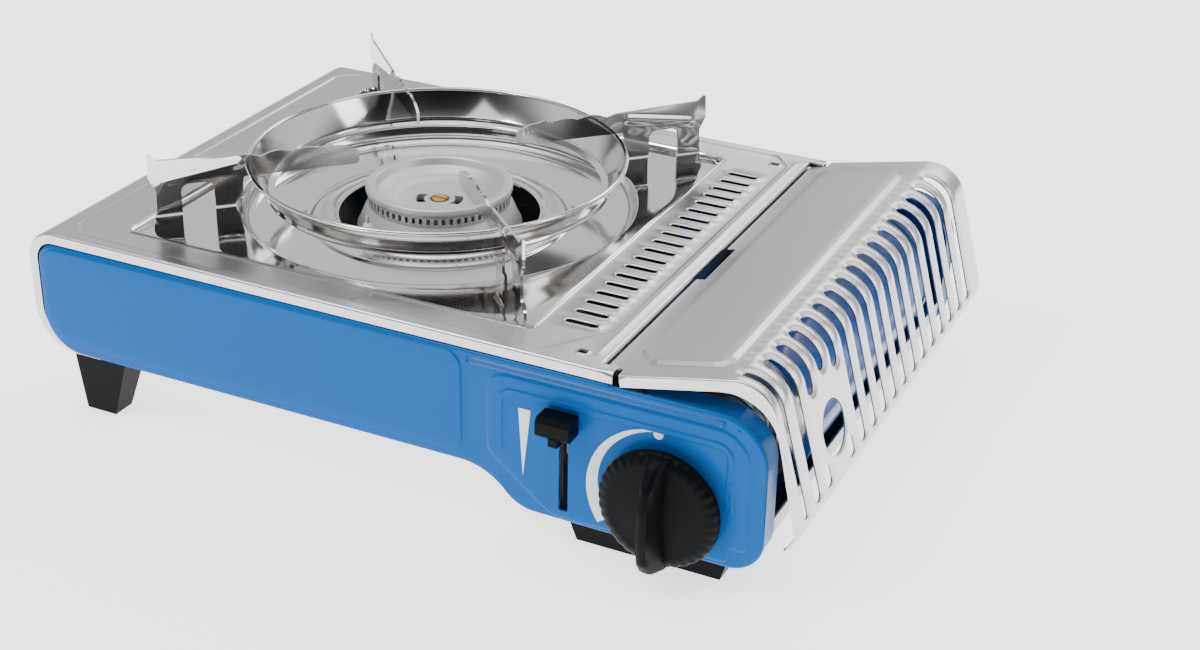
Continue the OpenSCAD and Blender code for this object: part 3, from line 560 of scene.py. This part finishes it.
def build_lid():
    u_notch = 142.2 - 134.3
    u_lip = down.stops[4]
    run = np.concatenate([np.arange(u_notch, down.stops[1], 4),
                          np.arange(down.stops[1], down.stops[2], 1.2),
                          np.arange(down.stops[2], down.stops[3], 3), np.arange(down.stops[3], u_lip, 1.0),
                          [u_lip]])
    width = np.array([LID_FLAT + lid_turn + max(rim_width(u) - LID_EDGE, 0.0) for u in run])
    rear = np.column_stack([run, width])
    front = np.column_stack([run, -width])
    end = [(down.total, -LID_FLAT - lid_turn), (down.total, LID_FLAT + lid_turn)]
    outline = np.vstack([[(0.2, -109), (u_notch - 0.6, -109), (u_notch, -109.6)], front, end, rear[::-1],
                         [(u_notch, 109.6), (u_notch - 0.6, 109), (0.2, 109), (0.2, 8), (4.1, 8),
                          (4.1, -24.5), (0.2, -24.5)]])
    outline = closed(outline, 3)
    holes = []
    for i in range(SLOT_COUNT):
        y = FIRST_SLOT_Y + i * SLOT_PITCH
        half, tip = (1.7, 188.9) if i == 0 else (3.0, 192.0)
        foot_z = SLOT_FOOT_Z
        if abs(i - GRIP_SLOT) <= 1:
            foot_z = GRIP_FOOT_Z if i == GRIP_SLOT else BESIDE_GRIP_Z
        foot = u_at_z(foot_z)
        holes.append(np.vstack([arc(foot - half, y, half, -90, 90, 8),
                                arc(u_at_x(tip) + half, y, half, 90, 270, 8)]))
        if abs(i - GRIP_SLOT) == 1:
            holes.append(np.vstack([arc(u_at_z(22.5) - 3, y, 3, -90, 90, 8),
                                    arc(u_at_z(32.5) + 3, y, 3, 90, 270, 8)]))
    holes.append(arc(u_at_z(FINGER_Z), FIRST_SLOT_Y + GRIP_SLOT * SLOT_PITCH, FINGER_R, 0, 350, 35))
    holes = [closed(h, 3) for h in holes]
    steps = [(h, (-3.1, -2.3, -1.5, -0.8, 0), (0, -0.08, -0.3, -0.6, -1.0)) for h in holes[:-1]]
    steps.append((holes[-1], (-1.5, -0.7, 0), (0, -0.2, -0.5)))
    plateau = closed(np.array([(9, -95), (16, -104), (45, -104), (48, -100), (48, 95), (43, 102), (16, 102),
                               (9, 94)], float), 4)
    steps.append((plateau, (-1.1, -0.7, 0.7, 1.1), (0, 0.1, 1.3, 1.4)))
    us = np.concatenate([np.arange(0.2, down.stops[1], 6), np.arange(down.stops[1], down.stops[2], 1.3),
                         np.arange(down.stops[2], down.stops[3], 3),
                         np.arange(down.stops[3], down.total, 1.3)])
    round_v = np.array([-0.5, 0, 0.3, 0.6, 0.9, 1.15, lid_turn, 1.9]) + LID_FLAT
    vs = np.concatenate([-round_v[::-1], np.arange(FIRST_SLOT_Y - 6.4, 112, SLOT_PITCH / 2), round_v])
    bend = folded(down, LID_FLAT, LID_EDGE)
    pressed("lid_sheet", outline, holes, steps, us, vs, lambda p, h: open_lid(bend(p, h)), STEEL, "lid",
            ["lid"], SHEET)


build_lid()
# Ears that turn on the hinge pins, under the lid's two notched corners
ear_line = closed(np.vstack([arc(HINGE_X, HINGE_Z, 2.2, 150, 280, 8),
                             [(156, HINGE_Z - 1), (156, TOP - SHEET - 0.4),
                              (HINGE_X - 0.8, TOP - SHEET - 0.4)]]), 3)
for name, y in (("lid_ear_front", -112.0), ("lid_ear_rear", 111.2)):
    pressed(name, ear_line, [arc(HINGE_X, HINGE_Z, 1.6, 0, 330, 11)], [], np.arange(146, 156, 4),
            np.arange(79, 81, 1.2),
            lambda p, h: open_lid(upright(p, y) - [0, 1, 0] * h[:, None]), STEEL, "lid", thick=0.8)

# ---------------------------------------------------------------- drip tray, wind ring and knob
TRAY_HALF = 94.9


def build_tray():
    seg = 180
    turn = np.linspace(0, 2 * math.pi, seg, endpoint=False)
    square = TRAY_HALF / np.maximum(np.abs(np.cos(turn)), np.abs(np.sin(turn)))
    square = np.minimum(square, (2 * TRAY_HALF - 1.6) / (np.abs(np.cos(turn)) + np.abs(np.sin(turn))))
    rings = [(44.5, 73.4), (45.0, 73.5), (45.5, 73.2), (46.4, 72.0), (47.2, 71.8), (54, 71.8), (55, 72.2),
             (57, 72.3), (58, 71.9), (59, 71.8),
             (78, 71.8), (80.5, 72.0), (83, 72.9), (84.8, 74.4), (85.8, 76.2), (86.4, 78), (86.7, 79.0),
             (87.2, 79.7), (88, 79.95), (88.6, 80)]
    vertices = [np.column_stack([r * np.cos(turn), r * np.sin(turn), np.full(seg, z)]) for r, z in rings]
    for t, z in ((0.3, 80), (0.7, 80), (0.95, 80)):
        r = 88.6 + (square - 88.6) * t
        vertices.append(np.column_stack([r * np.cos(turn), r * np.sin(turn), np.full(seg, float(z))]))
    vertices.append(np.column_stack([square * np.cos(turn), square * np.sin(turn), np.full(seg, 79.8)]))
    n = len(vertices)
    faces = [(k * seg + i, (k + 1) * seg + i, (k + 1) * seg + (i + 1) % seg, k * seg + (i + 1) % seg)
             for k in range(n - 1) for i in range(seg)]
    piece("drip_tray_sheet", np.vstack(vertices), faces, POLISHED, "pan_support", ["drip_tray"], 0.8, 40)


build_tray()
RING_R, RING_Z = 83.0, 100.5
rim = [(RING_R - 1.0 + 1.0 * math.cos(math.radians(a)),
        RING_Z - 1.0 + 1.0 * math.sin(math.radians(a))) for a in range(-40, 201, 20)]
lathed("wind_ring_sheet", [(75.4, 88.8), (78.3, 93.2), (80.6, 96.8), *rim, (79.7, 96.8), (77.4, 93.2),
                           (74.6, 89.0), (74.2, 88.5), (74.6, 87.6),
       (74.4, 87.3), (71.6, 86.3), (71.75, 85.6), (75.6, 86.9), (75.8, 87.6), (75.3, 88.4), (75.4, 88.8)],
       POLISHED, "pan_support", ["wind_ring"])

KNOB_BACK, KNOB_R = FIELD_Y - 4.2, 24.5
dome = [(6, 0.4), (KNOB_R - 2.5, 0.4), (KNOB_R - 2, 0), (KNOB_R - 0.3, 0), (KNOB_R, 0.4), (KNOB_R, 2.2),
        (KNOB_R - 0.5, 3.1),
        (KNOB_R - 1.8, 4.1), (KNOB_R - 4, 5.0), (KNOB_R - 5, 5.15), (KNOB_R - 6, 5.1), (KNOB_R - 11, 5.9),
        (KNOB_R - 16, 6.4), (4, 6.7), (0.01, 6.75)]
lathed("knob_disc", [(r, KNOB_BACK - y) for r, y in dome], PLASTIC, "knob", seg=216, axis=(KNOB_X, KNOB_Z),
       along="y",
       wave=lambda turn, r, y: 0.22 * np.cos(36 * turn) * (KNOB_R - 4.2 < r) * (y < KNOB_BACK - 0.5))


def build_grip():
    """An arched blade: its crest runs over the face, and each section narrows towards it."""
    z_at = np.linspace(-1, 1, 41)
    z = KNOB_Z + z_at * (KNOB_R - 0.6)
    crest = np.interp(z - KNOB_Z, (-24, -23.2, -21.5, -16.5, -6, 6, 15, 21.5, 23.2, 24),
                      (8.5, 11.5, 13.4, 16.9, 18.2, 17.7, 15.2, 10.2, 8.2, 6.5))
    hollow = 1 - 0.30 * np.exp(-((z - KNOB_Z + 1) / 11) ** 2)
    vertices, faces = [], []
    section = [(-1.0, 0.0), (-0.93, 0.3), (-0.72, 0.62), (-0.60, 0.85), (-0.45, 0.96), (-0.15, 1.0),
               (0.15, 1.0), (0.45, 0.96), (0.60, 0.85),
               (0.72, 0.62), (0.93, 0.3), (1.0, 0.0)]
    for zz, c, waist in zip(z, crest, hollow):
        for side, out in section:
            neck = waist if 0.2 < out < 0.9 else 1.0
            vertices.append((KNOB_X + 4.6 * side * neck, KNOB_BACK - 3.2 - (c - 3.2) * out, zz))
    m = len(section)
    for k in range(len(z) - 1):
        faces += [(k * m + i, k * m + i + 1, (k + 1) * m + i + 1, (k + 1) * m + i) for i in range(m - 1)]
        faces.append((k * m + m - 1, k * m, (k + 1) * m, (k + 1) * m + m - 1))
    faces.append(tuple(range(m))[::-1])
    faces.append(tuple((len(z) - 1) * m + i for i in range(m)))
    return piece("knob_grip", vertices, faces, PLASTIC, "knob", ["knob"], 0, 50)


build_grip()

# The cap's skirt hides the lever's stub
skirt = [(x, y, z) for z in (51.2, 54.6) for x, y in ((118.3, -117.4), (122.2, -117.4), (122.2, -126.0),
                                                      (118.3, -126.0))]
piece("lever_cap_skirt", skirt, [(0, 1, 2, 3), (7, 6, 5, 4), (0, 4, 5, 1), (1, 5, 6, 2), (2, 6, 7, 3),
                                 (3, 7, 4, 0)], PLASTIC, "lever")

# ---------------------------------------------------------------- fins
fin_line = np.vstack([
    [(85.9, 80), (85.9, 97.5), (85.2, 100.5), (36.5, 100.5), (35.3, 101.7), (35.3, 106), (37, 107.4),
     (42, 109.4)],
    arc(48, 107.5, 3, 130, 50, 4), arc(51.8, 110.2, 0.9, 200, 340, 4), arc(58, 90, 20.4, 102, 78, 6),
    arc(63.6, 110.2, 0.9, 200, 340, 4),
    arc(70, 97, 13.6, 110, 70, 5), [(77.5, 108.6), (82, 110), (121, 111.8), (123.6, 114.2), (124.8, 114.2),
                                    (125.2, 104), (122.3, 98),
    (122.6, 89), (124.4, 80), (112, 80), (112, 96.5)], arc(108.5, 96.5, 3.5, 0, 90, 5),
    arc(101.5, 96.5, 3.5, 90, 180, 5), [(98, 80)]])
fin_line = closed(fin_line[::-1], 3)
# A diagonal stiffening bead, and feet set sideways below a joggle
bead_a, bead_b = np.array([117.5, 102.5]), np.array([88.0, 106.8])
lean = math.degrees(math.atan2(*(bead_b - bead_a)[::-1]))
fin_bead = closed(np.vstack([arc(*bead_b, 2.4, lean - 90, lean + 90, 6),
                             arc(*bead_a, 2.4, lean + 90, lean + 270, 6)]), 3)
feet = [closed(np.array([(x0, 78), (x1, 78), (x1, z), (x0, z)], float), 3) for x0, x1,
        z in ((84, 99.5, 87.5), (110.5, 127, 86.5))]
for name, angle in (("front_left", 225), ("rear_left", 135), ("front_right", 315), ("rear_right", 45)):
    radial = np.array([math.cos(math.radians(angle)), math.sin(math.radians(angle))])
    across = np.array([-radial[1], radial[0]]) * (1 if name in ("front_left", "rear_left") else -1)

    def stand(p, h):
        flat = p[:, :1] * radial + (0.6 + h)[:, None] * across
        return np.column_stack([flat, p[:, 1]])

    pressed("fin_" + name + "_sheet", fin_line, [],
            [(fin_bead, (-1.0, 0, 1.2, 2.3), (0, 0.1, 0.35, 0.45))] + [(f, (-0.9, 0.0, 0.9),
                (0, -0.45, -0.9)) for f in feet],
            np.arange(36, 126, 5), np.arange(81, 114, 5), stand, POLISHED, "pan_support", ["fin_" + name],
            1.2, 35)

# ---------------------------------------------------------------- printed marks on the control panel
CONTROL_Y = FIELD_Y - LEDGE_RISE - 0.12


def printed(name, loop):
    n = len(loop)
    vertices = np.vstack([upright(loop, CONTROL_Y), upright(loop, CONTROL_Y + 0.08)])
    faces = [list(range(n)), list(range(2 * n - 1, n - 1, -1))] + [(i, i + n, (i + 1) % n + n,
        (i + 1) % n) for i in range(n)]
    piece(name, vertices, faces, WHITE, "casing")


sweep = np.radians(np.linspace(92, 214, 40))
thick_at = np.interp(np.linspace(0, 1, 40), (0, 0.25, 0.8, 1), (0.5, 2.2, 5.4, 5.8))
ARC_X = 160.0
outer = np.column_stack([ARC_X + 30 * np.cos(sweep), KNOB_Z + 30 * np.sin(sweep)])
inner = np.column_stack([ARC_X + (30 - thick_at) * np.cos(sweep), KNOB_Z + (30 - thick_at) * np.sin(sweep)])
printed("print_power_arc", np.vstack([outer, inner[::-1]]))
printed("print_dot", arc(159.2, 62.5, 2.0, 0, 345, 23))
printed("print_wedge", np.array([(100.8, 58.5), (102.8, 28.9), (106.1, 58.5)])[::-1])

# ---------------------------------------------------------------- the other CAD nodes, with eased edges
for name, node in nodes.items():
    if node.hide_render:
        continue
    node.data.materials.clear()
    node.data.materials.append(SLOTS[slot_of[name]])
    shade(node, 30)
    if name in ("ignition_lead", "gas_pipe", "spindle_spring"):
        continue
    soft = 0.22
    if name.startswith("foot_") and name != "foot_screws":
        soft = 1.5
    elif name == "lever_cap":
        soft = 0.8
    ease = node.modifiers.new("eased_edges", "BEVEL")
    ease.width = soft / 1000
    ease.segments = 2
    ease.limit_method = "ANGLE"
    ease.angle_limit = math.radians(40)
    ease.harden_normals = True

# ---------------------------------------------------------------- floor, light and surroundings
floor_mesh = bpy.data.meshes.new("floor")
floor_mesh.from_pydata([(-8, -8, 0), (8, -8, 0), (8, 8, 0), (-8, 8, 0)], [], [(0, 1, 2, 3)])
floor = bpy.data.objects.new("floor", floor_mesh)
bpy.context.scene.collection.objects.link(floor)
pale = bpy.data.materials.new("pale_floor")
pale.use_nodes = True
pale_shader = next(n for n in pale.node_tree.nodes if n.type == "BSDF_PRINCIPLED")
pale_shader.inputs["Base Color"].default_value = (0.9, 0.9, 0.9, 1)
pale_shader.inputs["Roughness"].default_value = 0.9
pale_shader.inputs["Specular IOR Level"].default_value = 0.1
pale_shader.inputs["Emission Color"].default_value = (1, 1, 1, 1)
pale_shader.inputs["Emission Strength"].default_value = 1.8
floor.data.materials.append(pale)

world = bpy.data.worlds.new("studio")
bpy.context.scene.world = world
world.use_nodes = True
tree = world.node_tree
ground = next(n for n in tree.nodes if n.type == "BACKGROUND")
ground.inputs["Strength"].default_value = 1.0
where = tree.nodes.new("ShaderNodeTexCoord")
split = tree.nodes.new("ShaderNodeSeparateXYZ")
ramp = tree.nodes.new("ShaderNodeValToRGB")
tree.links.new(where.outputs["Generated"], split.inputs["Vector"])
tree.links.new(split.outputs["Z"], ramp.inputs["Fac"])
# The room behind the camera is dark, so that metal and enamel turned to it keep their depth
facing = tree.nodes.new("ShaderNodeVectorMath")
facing.operation = "DOT_PRODUCT"
facing.inputs[1].default_value = (0.40, -0.88, -0.05)
shadow = tree.nodes.new("ShaderNodeMapRange")
shadow.interpolation_type = "SMOOTHSTEP"
for socket, value in (("From Min", 0.15), ("From Max", 0.72), ("To Min", 1.0), ("To Max", 0.05)):
    shadow.inputs[socket].default_value = value
tree.links.new(where.outputs["Generated"], facing.inputs[0])
tree.links.new(facing.outputs["Value"], shadow.inputs["Value"])
tree.links.new(shadow.outputs["Result"], ground.inputs["Strength"])
tree.links.new(ramp.outputs["Color"], ground.inputs["Color"])
stops = [(0.0, 0.10), (0.10, 0.16), (0.22, 0.85), (0.48, 0.95), (0.62, 0.22), (0.74, 0.30), (0.9, 2.0)]
while len(ramp.color_ramp.elements) < len(stops):
    ramp.color_ramp.elements.new(0.5)
for element, (position, value) in zip(ramp.color_ramp.elements, stops):
    element.position = position
    element.color = (value, value, value * 1.01, 1)


def softbox(name, location, target, size, power):
    lamp = bpy.data.lights.new(name, "AREA")
    lamp.shape = "RECTANGLE"
    lamp.size, lamp.size_y = size
    lamp.energy = power
    ob = bpy.data.objects.new(name, lamp)
    ob.location = location
    ob.rotation_euler = (Vector(target) - Vector(location)).to_track_quat("-Z", "Y").to_euler()
    bpy.context.scene.collection.objects.link(ob)


softbox("key", (-0.5, -0.7, 1.8), (0, 0, 0), (1.6, 1.2), 8)
softbox("edge_light", (-0.80, -1.05, 1.75), (0.05, -0.1, 0.05), (0.4, 0.4), 12)
softbox("rim", (0.2, 1.7, 1.3), (0, 0, 0.05), (1.8, 0.5), 12)
softbox("side", (1.7, 0.2, 0.9), (0, 0, 0.05), (0.5, 1.2), 7)
